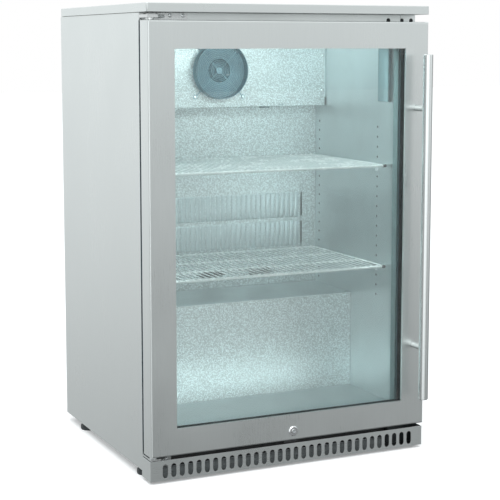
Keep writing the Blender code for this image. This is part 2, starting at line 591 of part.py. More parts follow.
# ---- machine compartment ----
def make_machine():
    base = BODY_BOTTOM + 2 * MM + GAP
    cx, cy = COMPRESSOR
    port = 18 * MM  # opening under the shell
    shell = [(18, 34), (60, 34), (72, 50), (72, 105), (76, 107), (76, 112), (72, 114), (70, 160), (52, 190),
             (30, 200), (0, 200), (0, 192), (27, 191), (46, 182), (62, 157), (63, 53), (56, 43), (18, 43)]
    dome = turned([(r * MM, z * MM) for r, z in shell], (cx, cy, 0), "Z", 24)
    plate = box((cx - 84 * MM, cy - 60 * MM, 30 * MM), (cx + 84 * MM, cy + 60 * MM, 36 * MM))
    grommets = [rod(11 * MM, base, 32 * MM, (cx + sx * 70 * MM, cy + sy * 46 * MM, 0), "Z", 12)
                for sx in (-1, 1) for sy in (-1, 1)]
    relay = box((cx - 96 * MM, cy - 24 * MM, 90 * MM), (cx - 60 * MM, cy + 24 * MM, 150 * MM))
    plate = combine(plate, [rod(port, 25 * MM, 40 * MM, (cx, cy, 0), "Z", 24)], "DIFFERENCE")
    place("compressor", combine(dome, [plate, *grommets, relay], "UNION"), BLACK_STEEL, cabinet, smooth=True)

    fins, pitch, left, width = 17, 11 * MM, -62 * MM, 36 * MM
    front = 298 * MM
    outline = [(left + width, front), (left, front)]
    for i in range(fins):
        y = front + i * pitch
        outline += [(left, y + 6 * MM), (left + width - 7 * MM, y + 6 * MM),
                    (left + width - 7 * MM, y + pitch), (left, y + pitch)]
    outline += [(left, front + fins * pitch + 6 * MM), (left + width, front + fins * pitch + 6 * MM)]
    place("condenser_coil", prism(outline, base, 222 * MM, "XY"), ALUMINIUM, cabinet)

    fx, fy, fz = CONDENSER_FAN
    motor = turned([(0, -50 * MM), (28 * MM, -50 * MM), (34 * MM, -42 * MM), (34 * MM, -18 * MM),
                    (20 * MM, -12 * MM), (0, -12 * MM)], (fx, fy, fz), "X", 20)
    stand = prism([(fx - 54 * MM, base), (fx - 24 * MM, base), (fx - 24 * MM, base + 2 * MM),
                   (fx - 28 * MM, base + 2 * MM), (fx - 28 * MM, fz), (fx - 30 * MM, fz),
                   (fx - 30 * MM, base + 2 * MM), (fx - 54 * MM, base + 2 * MM)],
                  fy - 22 * MM, fy + 22 * MM, "XZ")
    place("condenser_fan_motor", combine(motor, [stand], "UNION"), BLACK_STEEL, cabinet, smooth=True)

    tray = box((-262 * MM, 350 * MM, base), (-172 * MM, 500 * MM, 50 * MM))
    hollow = box((-260 * MM, 352 * MM, base + 2 * MM), (-174 * MM, 498 * MM, 60 * MM))
    place("condensate_tray", combine(tray, [hollow], "DIFFERENCE"), BLACK_PLASTIC, cabinet)

    rx, ry = RISER_PIPE
    top = 200.4 * MM
    pipe("suction_pipe", [(cx + 14 * MM, cy, top), (cx + 16 * MM, cy, 218 * MM),
                          (cx + 50 * MM, cy + 12 * MM, 232 * MM), (rx - 12 * MM, ry - 3 * MM, 238 * MM),
                          (rx, ry, 262 * MM), (rx, ry, 420 * MM), (rx, ry, 700 * MM),
                          (rx - 4 * MM, ry, 752 * MM), (rx - 24 * MM, ry, 770 * MM),
                          (162 * MM, ry, 771 * MM)], 4 * MM, COPPER, cabinet)
    pipe("discharge_pipe", [(cx - 14 * MM, cy, top), (cx - 18 * MM, cy - 2 * MM, 222 * MM),
                            (cx - 60 * MM, cy - 8 * MM, 238 * MM), (-38 * MM, cy - 12 * MM, 240 * MM),
                            (-44 * MM, cy - 12 * MM, 222.4 * MM)], 3 * MM, COPPER, cabinet)


# ---- fittings inside the compartment ----
def make_fittings():
    face = 252 * MM
    outline = rounded(76 * MM, 708 * MM, 119 * MM, CEILING_Z - GAP, 3 * MM, 2)
    housing = prism(outline, face, INNER_HALF - GAP, "YZ")
    place("control_housing", housing, GREY_PLASTIC, cabinet)
    centre = Vector((face, 106 * MM, 830.5 * MM))
    knob = turned([(0, -GAP), (9.5 * MM, -GAP), (9 * MM, -11 * MM), (0, -11 * MM)], centre, "X", 20)
    pointer = box((face - 12.5 * MM, centre.y - 1.5 * MM, centre.z),
                  (face - 10 * MM, centre.y + 1.5 * MM, centre.z + 8 * MM))
    knob = combine(knob, [pointer], "UNION")
    place("thermostat_knob", knob, BLACK_PLASTIC, pivot("knob_axis", centre, cabinet))
    centre = Vector((face - 1 * MM, 86 * MM, 830.5 * MM))
    rocker = prism([(face - GAP, centre.z - 8 * MM), (face - 4.5 * MM, centre.z - 8 * MM),
                    (face - 2.6 * MM, centre.z), (face - 2.6 * MM, centre.z + 8 * MM),
                    (face - GAP, centre.z + 8 * MM)],
                   centre.y - 5 * MM, centre.y + 5 * MM, "XZ")
    for vert in rocker.verts:  # the back is relieved both ways, so that the rocker can tip on its middle
        if vert.co.x > face - MM:
            vert.co.x -= 0.16 * abs(vert.co.z - centre.z)
    place("lamp_switch", rocker, BLACK_PLASTIC, pivot("switch_axis", centre, cabinet))

    half = 225 * MM
    top = CEILING_Z - GAP
    base = prism(rectangle(68 * MM, top - 5 * MM, 92 * MM, top), -half, half, "YZ")
    place("lamp_housing", base, GREY_PLASTIC, cabinet)
    lens_top = top - 5 * MM - GAP
    lens = [(80 * MM + 11 * MM * math.cos(math.radians(a)), lens_top + 7 * MM * math.sin(math.radians(a)))
            for a in range(180, 361, 30)]
    place("lamp_lens", prism(lens, -half + 3 * MM, half - 3 * MM, "YZ"), LENS, cabinet, smooth=True)


def make_shelf(level):
    """Wire shelf: a frame with close front-to-back wires. It lifts straight up off its clips."""
    z = SHELF_Z[level]
    count = int(2 * SHELF_HALF / WIRE_PITCH)
    first = -(count - 1) / 2 * WIRE_PITCH
    edges = [-SHELF_HALF + 4 * MM, *[first + i * WIRE_PITCH for i in range(count)], SHELF_HALF - 4 * MM]
    holes = []
    for left, right in zip(edges, edges[1:]):
        u0 = left if left == edges[0] else left + WIRE / 2
        u1 = right if right == edges[-1] else right - WIRE / 2
        if u1 - u0 > 2 * MM:
            holes.append(rectangle(u0, SHELF_FRONT + 5 * MM, u1, SHELF_BACK - 5 * MM))
    outline = rectangle(-SHELF_HALF, SHELF_FRONT, SHELF_HALF, SHELF_BACK)
    shape = prism(outline, z - 3 * MM, z + 3 * MM, "XY", holes)
    place(f"shelf_{level}", shape, WHITE_WIRE, pivot(f"shelf_{level}_lift", (0, SHELF_FRONT, z), cabinet))


def make_feet():
    for (x, y), name in zip(FEET, ("front_left", "rear_left", "front_right", "rear_right")):
        foot = turned([(0, 0), (17 * MM, 0), (18 * MM, 1.5 * MM), (18 * MM, 9 * MM), (15 * MM, 11.5 * MM),
                       (9 * MM, 12 * MM), (9 * MM, BODY_BOTTOM - GAP), (4 * MM, BODY_BOTTOM - GAP),
                       (4 * MM, 28 * MM), (0, 28 * MM)], (x, y, 0), "Z", 20)
        axis = pivot(f"foot_{name}_axis", (x, y, 0), cabinet)
        place(f"foot_{name}", foot, BLACK_PLASTIC, axis, smooth=True)


# ---- door ----
def make_hinges():
    for name, arm, flange, pin, boss in (
            ("hinge_bracket_top", (873, 879), (869.3, 882.8), (849, 876), (869.2, 874)),
            ("hinge_bracket_bottom", (45.4, 49), (20, 49), (47, 72), (48, 52.4))):
        reach = -201 * MM if "top" in name else -240 * MM
        plate = box((-296.7 * MM, 44.6 * MM, flange[0] * MM), (reach, BODY_FRONT - GAP, flange[1] * MM))
        shelf = prism([(-296.7 * MM, 4 * MM), (-276 * MM, 4 * MM), (-252 * MM, 30 * MM), (-252 * MM, 46 * MM),
                       (-296.7 * MM, 46 * MM)], arm[0] * MM, arm[1] * MM, "XY")
        centre = (HINGE_X, HINGE_Y, 0)
        post = rod(HINGE_PIN_R, pin[0] * MM, pin[1] * MM, centre, "Z", 16)
        ring = rod(7.5 * MM, boss[0] * MM, boss[1] * MM, centre, "Z", 20)
        place(name, combine(plate, [shelf, post, ring], "UNION"), STAINLESS, cabinet)


def make_door(axis):
    skin = 1.2 * MM
    edge = 2.6 * MM
    arc = [(edge - edge * math.cos(math.radians(a)), DOOR_FRONT + edge - edge * math.sin(math.radians(a)))
           for a in (0, 22.5, 45, 67.5, 90)]
    lip = DOOR_FRONT + 4 * MM
    profile = [(0, DOOR_BACK), *arc, (RAIL, DOOR_FRONT), (RAIL, lip), (RAIL - skin, lip),
               (RAIL - skin, DOOR_FRONT + skin), (edge + 0.4 * MM, DOOR_FRONT + skin),
               (skin, DOOR_FRONT + edge + 0.4 * MM), (skin, DOOR_BACK)]
    frame = frame_loop(profile, DOOR_HALF, DOOR_LOW, DOOR_HIGH)
    bush_r = 6 * MM
    cutters = [
        rod(bush_r + GAP, DOOR_HIGH - 4 * MM, DOOR_HIGH + 4 * MM, (HINGE_X, HINGE_Y, 0), "Z", 20),
        rod(bush_r + GAP, DOOR_LOW - 4 * MM, DOOR_LOW + 4 * MM, (HINGE_X, HINGE_Y, 0), "Z", 20),
        rod(8 * MM + GAP, -4 * MM, 4 * MM, (0, DOOR_FRONT, LOCK_Z), "Y", 20),
        box((-9 * MM, 12 * MM, DOOR_LOW - 2 * MM), (25 * MM, 18.4 * MM, DOOR_LOW + 4 * MM)),
    ]
    place("door_frame", combine(frame, cutters, "DIFFERENCE"), STAINLESS, axis)

    inner = [(1.6 * MM, 23.2 * MM), (42.5 * MM, 23.2 * MM), (42.5 * MM, DOOR_BACK), (26 * MM, DOOR_BACK),
             (26 * MM, DOOR_BACK - 2.5 * MM), (9.6 * MM, DOOR_BACK - 2.5 * MM), (9.6 * MM, DOOR_BACK),
             (1.6 * MM, DOOR_BACK)]
    place("door_inner_frame", frame_loop(inner, DOOR_HALF, DOOR_LOW, DOOR_HIGH), BLACK_PLASTIC, axis)

    cover = 37 * MM
    x, low, high = DOOR_HALF - cover, DOOR_LOW + cover, DOOR_HIGH - cover
    place("glass_outer", box((-x, 2.3 * MM, low), (x, 6.3 * MM, high)), GLASS, axis)
    place("glass_inner", box((-x, 18.9 * MM, low), (x, 22.9 * MM, high)), GLASS, axis)
    spacer = [(38 * MM, 6.6 * MM), (51.4 * MM, 6.6 * MM), (51.4 * MM, 18.6 * MM), (38 * MM, 18.6 * MM)]
    place("glass_spacer", frame_loop(spacer, DOOR_HALF, DOOR_LOW, DOOR_HIGH), BLACK_PLASTIC, axis)

    seat = DOOR_BACK - 2.5 * MM + GAP
    face = BODY_FRONT - GAP
    seal = [(10.8 * MM, seat), (24.8 * MM, seat), (24.8 * MM, 40 * MM), (22.5 * MM, 42 * MM),
            (24.8 * MM, 44 * MM), (24.8 * MM, face), (10.8 * MM, face), (10.8 * MM, 44 * MM),
            (13 * MM, 42 * MM), (10.8 * MM, 40 * MM)]
    place("door_gasket", frame_loop(seal, DOOR_HALF, DOOR_LOW, DOOR_HIGH), RUBBER, axis)

    bore = HINGE_PIN_R + 0.2 * MM
    for name, low, high in (("hinge_bush_top", 846 * MM, DOOR_HIGH - GAP),
                            ("hinge_bush_bottom", DOOR_LOW + GAP, 75 * MM)):
        sleeve = [(bore, low), (bush_r, low), (bush_r, high), (bore, high)]
        bush = turned(sleeve, (HINGE_X, HINGE_Y, 0), "Z", 20)
        place(name, bush, BLACK_PLASTIC, axis, smooth=True)


def make_handle(axis):
    ease = 1.2 * MM
    bar = turned([(0, BAR_LOW), (BAR_R - ease, BAR_LOW), (BAR_R, BAR_LOW + ease), (BAR_R, BAR_HIGH - ease),
                  (BAR_R - ease, BAR_HIGH), (0, BAR_HIGH)], (BAR_X, BAR_Y, 0), "Z", 32)
    place("handle_bar", bar, STAINLESS, axis, smooth=True)
    for z, name in zip(POST_Z, ("handle_post_lower", "handle_post_upper")):
        post = rod(POST_R, BAR_Y, DOOR_FRONT - GAP, (BAR_X, 0, z), "Y", 20)
        room = rod(BAR_R + GAP, z - 0.02, z + 0.02, (BAR_X, BAR_Y, 0), "Z", 32)
        place(name, combine(post, [room], "DIFFERENCE"), STAINLESS, axis, smooth=True)


def make_lock(axis):
    """Cam lock in the bottom rail: a quarter turn swings the cam down behind the keeper tab of the sill."""
    face = DOOR_FRONT - GAP
    housing = turned([(5.3 * MM, face - 2.2 * MM), (8.5 * MM, face - 2.2 * MM), (10 * MM, face - 0.8 * MM),
                      (10 * MM, face), (8 * MM, face), (8 * MM, 11 * MM), (5.3 * MM, 11 * MM)],
                     (0, 0, LOCK_Z), "Y", 24)
    place("lock_housing", housing, CHROME, axis, smooth=True)
    turn = pivot("lock_axis", Vector((0, 0, LOCK_Z)) - axis.location, axis)
    barrel = rod(5 * MM, face - 2.6 * MM, 13.5 * MM, (0, 0, LOCK_Z), "Y", 20)
    keyway = box((-0.8 * MM, face - 4 * MM, LOCK_Z - 3 * MM), (0.8 * MM, face + 2 * MM, LOCK_Z + 3 * MM))
    reach = 24 * MM
    outline = rounded(-6 * MM, LOCK_Z - 6 * MM, reach, LOCK_Z + 6 * MM, 5.9 * MM, 4)
    cam = prism(outline, 13.8 * MM, 16.3 * MM, "XZ")
    for name, shape, spec in (("lock_barrel", combine(barrel, [keyway], "DIFFERENCE"), CHROME),
                              ("lock_cam", cam, GALVANISED)):
        obj = place(name, shape, spec, turn, smooth=True)
        obj.data.transform(Matrix.Translation(-axis.location))


clear_scene()
cabinet = pivot("cabinet_frame", (0, -ORIGIN_Y, 0))
door_axis = pivot("door_axis", (HINGE_X, HINGE_Y, 0), cabinet)

make_worktop()
make_side_panel(-1)
make_side_panel(1)
make_front_beams()
make_breaker_strip()
make_rear_and_base()
make_insulation()
make_kick_grille()
make_liner()
make_duct_panel()
make_evaporator()
make_fan_blades()
make_machine()
make_fittings()
make_shelf("lower")
make_shelf("upper")
make_feet()
make_hinges()
make_door(door_axis)
make_handle(door_axis)
make_lock(door_axis)
bpy.context.view_layer.update()
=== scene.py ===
"""Undercounter refrigerator with a glass door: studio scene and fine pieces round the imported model.

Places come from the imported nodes' boxes or are given in the frame's metres; X right, Y back, Z up.
"""

import math

import bmesh
import bpy
from mathutils import Matrix, Vector


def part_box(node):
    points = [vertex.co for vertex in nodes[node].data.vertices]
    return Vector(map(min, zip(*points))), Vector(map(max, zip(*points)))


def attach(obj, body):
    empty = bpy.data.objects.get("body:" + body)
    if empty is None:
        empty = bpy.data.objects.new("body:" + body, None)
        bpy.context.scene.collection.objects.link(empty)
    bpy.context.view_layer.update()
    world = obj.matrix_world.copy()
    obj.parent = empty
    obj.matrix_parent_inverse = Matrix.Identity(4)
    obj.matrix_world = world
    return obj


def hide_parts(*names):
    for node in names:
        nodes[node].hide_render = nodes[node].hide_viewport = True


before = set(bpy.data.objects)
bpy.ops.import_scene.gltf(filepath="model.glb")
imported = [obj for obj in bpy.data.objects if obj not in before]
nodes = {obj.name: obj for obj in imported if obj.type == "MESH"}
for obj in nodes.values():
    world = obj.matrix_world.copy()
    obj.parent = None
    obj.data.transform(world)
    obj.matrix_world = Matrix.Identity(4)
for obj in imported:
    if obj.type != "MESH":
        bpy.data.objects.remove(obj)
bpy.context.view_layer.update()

MM = 0.001
FILL_PER_METRE = 0.42  # watts per metre of lamp
FILL_SHARE = (0.06, 1.50, 1.10)  # below, between and above the shelves
COOL_WHITE = (0.88, 1.0, 0.995)
PLAIN_WHITE = (1, 1, 1, 1)
FRAME_SHIFT = 234.5 * MM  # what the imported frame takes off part.py's Y
KNOB = (106 * MM - FRAME_SHIFT, 830.5 * MM)  # the thermostat knob's axis, Y and Z
LOUVRE_ROWS = ((377 * MM, 429 * MM), (441 * MM, 493 * MM))
LOUVRE_PITCH = 12 * MM
HOLE_COLUMNS = (61.7 * MM, 317.7 * MM)  # behind the side walls' front edge
SHELF_HOLES = 18  # in each column
SHELF_HOLE_LOW = 303  # mm
SHELF_HOLE_PITCH = 20.7  # mm


# ---- camera, floor, light ----
def add_camera():
    """Front left, eye level with the top of the unit, long lens."""
    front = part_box("worktop")[0].y
    data = bpy.data.cameras.new("camera")
    data.lens = 99.6
    data.sensor_width = 36
    data.shift_y = -0.07
    data.clip_end = 100
    camera = bpy.data.objects.new("camera", data)
    camera.location = (-1.199, front - 2.361, 0.825)
    camera.rotation_euler = (math.radians(90 - 7.04), 0, math.radians(-25.10))
    bpy.context.scene.collection.objects.link(camera)
    bpy.context.scene.camera = camera


def add_floor():
    """Pale paper floor, lightly self-lit so that it stays near white."""
    shape = bmesh.new()
    bmesh.ops.create_grid(shape, x_segments=1, y_segments=1, size=20)
    mesh = bpy.data.meshes.new("studio_floor")
    shape.to_mesh(mesh)
    shape.free()
    floor = bpy.data.objects.new("studio_floor", mesh)
    bpy.context.scene.collection.objects.link(floor)
    floor.visible_glossy = False
    material, shader = principled("floor_paper", (0.93, 0.94, 0.945), 0.9, 0)
    shader.inputs["Emission Color"].default_value = PLAIN_WHITE
    shader.inputs["Emission Strength"].default_value = 0.22
    mesh.materials.append(material)


def ramp_node(tree, value, stops):
    """Grey steps read at value; stops are (place, level)."""
    ramp = tree.nodes.new("ShaderNodeValToRGB")
    ramp.color_ramp.elements.remove(ramp.color_ramp.elements[1])
    for i, (place, level) in enumerate(stops):
        stop = ramp.color_ramp.elements[0] if i == 0 else ramp.color_ramp.elements.new(place)
        stop.position = place
        stop.color = (level, level, level, 1)
    tree.links.new(value, ramp.inputs["Fac"])
    return ramp.outputs["Color"]


def calculate(tree, operation, one, two):
    """A math node; one and two are sockets or plain numbers."""
    node = tree.nodes.new("ShaderNodeMath")
    node.operation = operation
    for socket, value in zip(node.inputs, (one, two)):
        if isinstance(value, (int, float)):
            socket.default_value = value
        else:
            tree.links.new(value, socket)
    return node.outputs[0]


def add_world():
    """Studio surround: bright above, darker to the floor, with light and dark panels round the horizon."""
    bpy.context.scene.view_settings.view_transform = "Standard"
    world = bpy.data.worlds.new("studio")
    bpy.context.scene.world = world
    world.use_nodes = True
    tree = world.node_tree
    tree.nodes.clear()
    coords = tree.nodes.new("ShaderNodeTexCoord")
    split = tree.nodes.new("ShaderNodeSeparateXYZ")
    tree.links.new(coords.outputs["Generated"], split.inputs[0])
    height = calculate(tree, "MULTIPLY_ADD", split.outputs["Z"], 0.5)
    height.node.inputs[2].default_value = 0.5
    turn = calculate(tree, "ARCTAN2", split.outputs["Y"], split.outputs["X"])
    turn = calculate(tree, "MULTIPLY_ADD", turn, 1 / math.tau)
    turn.node.inputs[2].default_value = 0.5
    at_side = ramp_node(tree, height, ((0.25, 0.24), (0.34, 0.46), (0.43, 0.82), (0.50, 1.02),
                                       (0.58, 1.08), (0.85, 1.1)))
    at_front = ramp_node(tree, height, ((0.25, 0.16), (0.34, 0.27), (0.42, 0.56), (0.50, 0.98),
                                        (0.58, 1.10), (0.85, 1.1)))
    front = ramp_node(tree, turn, ((0.22, 0.0), (0.28, 1.0), (0.40, 1.0), (0.50, 0.0)))
    by_height = tree.nodes.new("ShaderNodeMix")
    tree.links.new(front, by_height.inputs["Factor"])
    tree.links.new(at_side, by_height.inputs["A"])
    tree.links.new(at_front, by_height.inputs["B"])
    panels = ramp_node(tree, turn, ((0.0, 0.50), (0.06, 0.50), (0.09, 1.5), (0.24, 1.4), (0.285, 0.74),
                                    (0.33, 0.86), (0.38, 1.10), (0.42, 0.95), (0.47, 0.42), (0.64, 0.48),
                                    (0.73, 0.96), (0.96, 1.06), (0.985, 0.50)))
    overhead = ramp_node(tree, height, ((0.60, 0.0), (0.80, 1.0)))
    blend = tree.nodes.new("ShaderNodeMix")
    blend.inputs["B"].default_value = 1
    tree.links.new(overhead, blend.inputs["Factor"])
    tree.links.new(panels, blend.inputs["A"])
    level = calculate(tree, "MULTIPLY", by_height.outputs["Result"], blend.outputs["Result"])
    soft = tree.nodes.new("ShaderNodeBackground")
    soft.inputs["Color"].default_value = (0.965, 0.995, 1, 1)
    tree.links.new(level, soft.inputs["Strength"])
    plain = tree.nodes.new("ShaderNodeBackground")
    plain.inputs["Color"].default_value = PLAIN_WHITE
    path = tree.nodes.new("ShaderNodeLightPath")
    mix = tree.nodes.new("ShaderNodeMixShader")
    out = tree.nodes.new("ShaderNodeOutputWorld")
    tree.links.new(path.outputs["Is Camera Ray"], mix.inputs[0])
    tree.links.new(soft.outputs[0], mix.inputs[1])
    tree.links.new(plain.outputs[0], mix.inputs[2])
    tree.links.new(mix.outputs[0], out.inputs["Surface"])


def area_light(name, place, target, size, energy, colour=(1, 1, 1)):
    """Oblong lamp of so many watts at place, facing target, hidden from the camera."""
    data = bpy.data.lights.new(name, "AREA")
    data.shape = "RECTANGLE"
    data.size, data.size_y = size
    data.energy = energy
    data.color = colour
    light = bpy.data.objects.new(name, data)
    light.location = place
    light.rotation_euler = (Vector(target) - Vector(place)).to_track_quat("-Z", "Y").to_euler()
    light.visible_camera = False
    bpy.context.scene.collection.objects.link(light)


def add_lights():
    """Soft box overhead, the ceiling lamp, and hidden fills at the compartment's front corners and floor."""
    area_light("soft_box", (-1.2, -1.6, 3.0), (0, 0, 0.4), size=(2.5, 2.5), energy=40)
    low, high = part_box("liner_left")
    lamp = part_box("lamp_lens")[0]
    front, back = low.y, high.y
    area_light("ceiling_lamp", (0, lamp.y + 12 * MM, lamp.z - 4 * MM), (0, back, 0.30),
               size=(0.42, 0.02), energy=0.75, colour=COOL_WHITE)
    shelf_low, shelf_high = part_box("shelf_lower")[0].z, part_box("shelf_upper")[0].z
    for i, (bottom, top) in enumerate(((low.z, shelf_low), (shelf_low, shelf_high), (shelf_high, high.z))):
        length = top - bottom - 70 * MM
        middle = (bottom + top) / 2
        for side in (-1, 1):
            area_light(f"inner_fill_{i}_{side}", (side * 0.240, front + 4 * MM, middle),
                       (side * 0.04, back, middle - 10 * MM), size=(0.02, length),
                       energy=FILL_PER_METRE * length * FILL_SHARE[i], colour=COOL_WHITE)
    area_light("floor_fill", (0, front + 6 * MM, 0.095), (0, back, 0.10),
               size=(0.45, 0.015), energy=0.14, colour=COOL_WHITE)


# ---- materials ----
def principled(name, colour, roughness, metallic):
    """New material with its main shader."""
    material = bpy.data.materials.new(name)
    material.use_nodes = True
    shader = material.node_tree.nodes["Principled BSDF"]
    shader.inputs["Base Color"].default_value = (*colour, 1)
    shader.inputs["Roughness"].default_value = roughness
    shader.inputs["Metallic"].default_value = metallic
    return material, shader


def noise(tree, scale, detail=2.0, stretch=(1, 1, 1), roughness=0.5):
    """Noise in the object's own metres; stretch scales each axis."""
    coords = tree.nodes.new("ShaderNodeTexCoord")
    mapping = tree.nodes.new("ShaderNodeMapping")
    mapping.inputs["Scale"].default_value = stretch
    texture = tree.nodes.new("ShaderNodeTexNoise")
    texture.inputs["Scale"].default_value = scale
    texture.inputs["Detail"].default_value = detail
    texture.inputs["Roughness"].default_value = roughness
    tree.links.new(coords.outputs["Object"], mapping.inputs["Vector"])
    tree.links.new(mapping.outputs["Vector"], texture.inputs["Vector"])
    return texture.outputs["Fac"]


def spread(tree, value, low, high, start=0.3, end=0.7):
    """Value stretched from start..end to low..high."""
    node = tree.nodes.new("ShaderNodeMapRange")
    node.inputs["From Min"].default_value = start
    node.inputs["From Max"].default_value = end
    node.inputs["To Min"].default_value = low
    node.inputs["To Max"].default_value = high
    tree.links.new(value, node.inputs["Value"])
    return node.outputs["Result"]


def tint(tree, value, dark, light, start=0.3, end=0.7):
    """Colour from dark at start to light at end."""
    ramp = tree.nodes.new("ShaderNodeValToRGB")
    ramp.color_ramp.elements[0].position = start
    ramp.color_ramp.elements[0].color = (*dark, 1)
    ramp.color_ramp.elements[1].position = end
    ramp.color_ramp.elements[1].color = (*light, 1)
    tree.links.new(value, ramp.inputs["Fac"])
    return ramp.outputs["Color"]


def bump(tree, shader, height, strength, distance):
    """Fine relief of the surface, distance in metres."""
    node = tree.nodes.new("ShaderNodeBump")
    node.inputs["Strength"].default_value = strength
    node.inputs["Distance"].default_value = distance
    tree.links.new(height, node.inputs["Height"])
    tree.links.new(node.outputs["Normal"], shader.inputs["Normal"])


def brushed(name, colour, roughness, along, grain=1.0):
    """Brushed stainless: fine hairlines along one axis in colour, roughness and relief, and faint smudges."""
    material, shader = principled(name, colour, roughness, 1)
    tree = material.node_tree
    stretch = [1.0, 1.0, 1.0]
    stretch["XYZ".index(along)] = 0.012
    lines = noise(tree, 1900, 4, stretch, 0.65)
    smudge = noise(tree, 7, 3)
    dark = [c * 0.965 for c in colour]
    light = [min(1, c * 1.03) for c in colour]
    tree.links.new(tint(tree, lines, dark, light, 0.25, 0.75), shader.inputs["Base Color"])
    mixed = calculate(tree, "ADD", spread(tree, lines, -0.03, 0.04),
                      spread(tree, smudge, roughness - 0.03, roughness + 0.04))
    tree.links.new(mixed, shader.inputs["Roughness"])
    bump(tree, shader, lines, 0.07 * grain, 0.0001)
    return material


def plinth_steel(name, colour, roughness):
    """Brushed along the front; the folds inside carry a painted shade, dark grey in place of the steel
    colour.
    """
    material = brushed(name, colour, roughness, "X")
    tree = material.node_tree
    shader = tree.nodes["Principled BSDF"]
    split = tree.nodes.new("ShaderNodeSeparateXYZ")
    coords = tree.nodes.new("ShaderNodeTexCoord")
    tree.links.new(coords.outputs["Object"], split.inputs["Vector"])
    low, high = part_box("kick_grille")
    behind = spread(tree, split.outputs["Y"], 0, 1, low.y + 2 * MM, low.y + 5 * MM)
    right_of = spread(tree, split.outputs["X"], 0, 1, low.x + 0.3 * MM, low.x + 0.9 * MM)
    left_of = spread(tree, split.outputs["X"], 1, 0, high.x - 0.9 * MM, high.x - 0.3 * MM)
    between = calculate(tree, "MULTIPLY", right_of, left_of)
    painted_shade_inside = calculate(tree, "MULTIPLY", behind, between)
    # painted shade: the folds behind the front face are coloured dark grey for the shade behind the slots
    mix = tree.nodes.new("ShaderNodeMix")
    mix.data_type = "RGBA"
    tree.links.new(painted_shade_inside, mix.inputs["Factor"])
    tree.links.new(shader.inputs["Base Color"].links[0].from_socket, mix.inputs["A"])
    mix.inputs["B"].default_value = (0.34, 0.36, 0.365, 1)
    tree.links.new(mix.outputs["Result"], shader.inputs["Base Color"])
    return material


def satin_metal(name, colour, roughness, relief=0.06):
    """Plain rolled sheet: soft mottling and light scratches."""
    material, shader = principled(name, colour, roughness, 1)
    tree = material.node_tree
    cloud = noise(tree, 16, 4)
    grain = noise(tree, 900, 3, (1, 1, 0.15))
    tree.links.new(tint(tree, cloud, [c * 0.95 for c in colour], [min(1, c * 1.04) for c in colour]),
                   shader.inputs["Base Color"])
    tree.links.new(spread(tree, grain, roughness - 0.04, roughness + 0.06), shader.inputs["Roughness"])
    bump(tree, shader, grain, relief, 0.0001)
    return material


def stucco(name, colour, roughness, pebble=3.0 * MM, depth=0.20 * MM):
    """Stucco-embossed aluminium: close irregular pebbles pressed into bright sheet; painted shade in the
    creases, painted highlight on the tops.
    """
    material, shader = principled(name, colour, roughness, 0.7)
    tree = material.node_tree
    coords = tree.nodes.new("ShaderNodeTexCoord")
    cells = tree.nodes.new("ShaderNodeTexVoronoi")
    cells.feature = "SMOOTH_F1"
    cells.inputs["Scale"].default_value = 1 / pebble
    cells.inputs["Smoothness"].default_value = 0.4
    tree.links.new(coords.outputs["Object"], cells.inputs["Vector"])
    ripple = noise(tree, 1.4 / pebble, 2)
    height = calculate(tree, "ADD", spread(tree, cells.outputs["Distance"], 1, 0, 0, 0.6),
                       spread(tree, ripple, 0, 0.9, 0.3, 0.7))
    bump(tree, shader, height, 1.0, depth)
    # painted shade and highlight: the colour runs from dark in the creases to light on the pebble tops
    dark, light = [c * 0.66 for c in colour], [min(1, c * 1.12) for c in colour]
    tree.links.new(tint(tree, height, dark, light, 0.45, 1.25), shader.inputs["Base Color"])
    cloud = noise(tree, 60, 2)
    tree.links.new(spread(tree, cloud, roughness - 0.05, roughness + 0.06), shader.inputs["Roughness"])
    return material


def spangled(name, colour, roughness):
    """Galvanised sheet with its crystal spangle."""
    material, shader = principled(name, colour, roughness, 1)
    tree = material.node_tree
    coords = tree.nodes.new("ShaderNodeTexCoord")
    cells = tree.nodes.new("ShaderNodeTexVoronoi")
    cells.inputs["Scale"].default_value = 110
    tree.links.new(coords.outputs["Object"], cells.inputs["Vector"])
    split = tree.nodes.new("ShaderNodeSeparateColor")
    tree.links.new(cells.outputs["Color"], split.inputs["Color"])
    value = split.outputs["Red"]
    dark, light = [c * 0.85 for c in colour], [min(1, c * 1.1) for c in colour]
    tree.links.new(tint(tree, value, dark, light, 0.1, 0.9), shader.inputs["Base Color"])
    tree.links.new(spread(tree, value, roughness - 0.07, roughness + 0.1, 0, 1), shader.inputs["Roughness"])
    bump(tree, shader, noise(tree, 500, 2), 0.08, 0.0001)
    return material


def moulded(name, colour, roughness, relief=0.12, grain=1400):
    """Moulded plastic or rubber: fine leathery grain, slight shine changes and lighter rubbed patches."""
    material, shader = principled(name, colour, roughness, 0)
    tree = material.node_tree
    fine = noise(tree, grain, 2)
    worn = noise(tree, 30, 4)
    lighter = [min(1, c * 1.25 + 0.006) for c in colour]
    tree.links.new(tint(tree, worn, colour, lighter, 0.4, 0.8), shader.inputs["Base Color"])
    tree.links.new(spread(tree, worn, roughness - 0.06, roughness + 0.08), shader.inputs["Roughness"])
    bump(tree, shader, fine, relief, 0.0002)
    return material


def clear_glass(name, colour):
    """Clear pane with faint wiping marks; refracts less than real glass, so that it mirrors less."""
    material, shader = principled(name, colour, 0.0, 0)
    shader.inputs["Transmission Weight"].default_value = 1
    shader.inputs["IOR"].default_value = 1.38
    tree = material.node_tree
    tree.links.new(spread(tree, noise(tree, 9, 3), 0.0, 0.012, 0.35, 0.75), shader.inputs["Roughness"])
    return material


def glowing(name, colour, strength):
    """Lit chips of slightly uneven brightness."""
    material, shader = principled(name, colour, 0.4, 0)
    shader.inputs["Emission Color"].default_value = (*colour, 1)
    tree = material.node_tree
    tree.links.new(spread(tree, noise(tree, 300, 2, (1, 0.1, 0.1)), strength * 0.9, strength * 1.1),
                   shader.inputs["Emission Strength"])
    return material


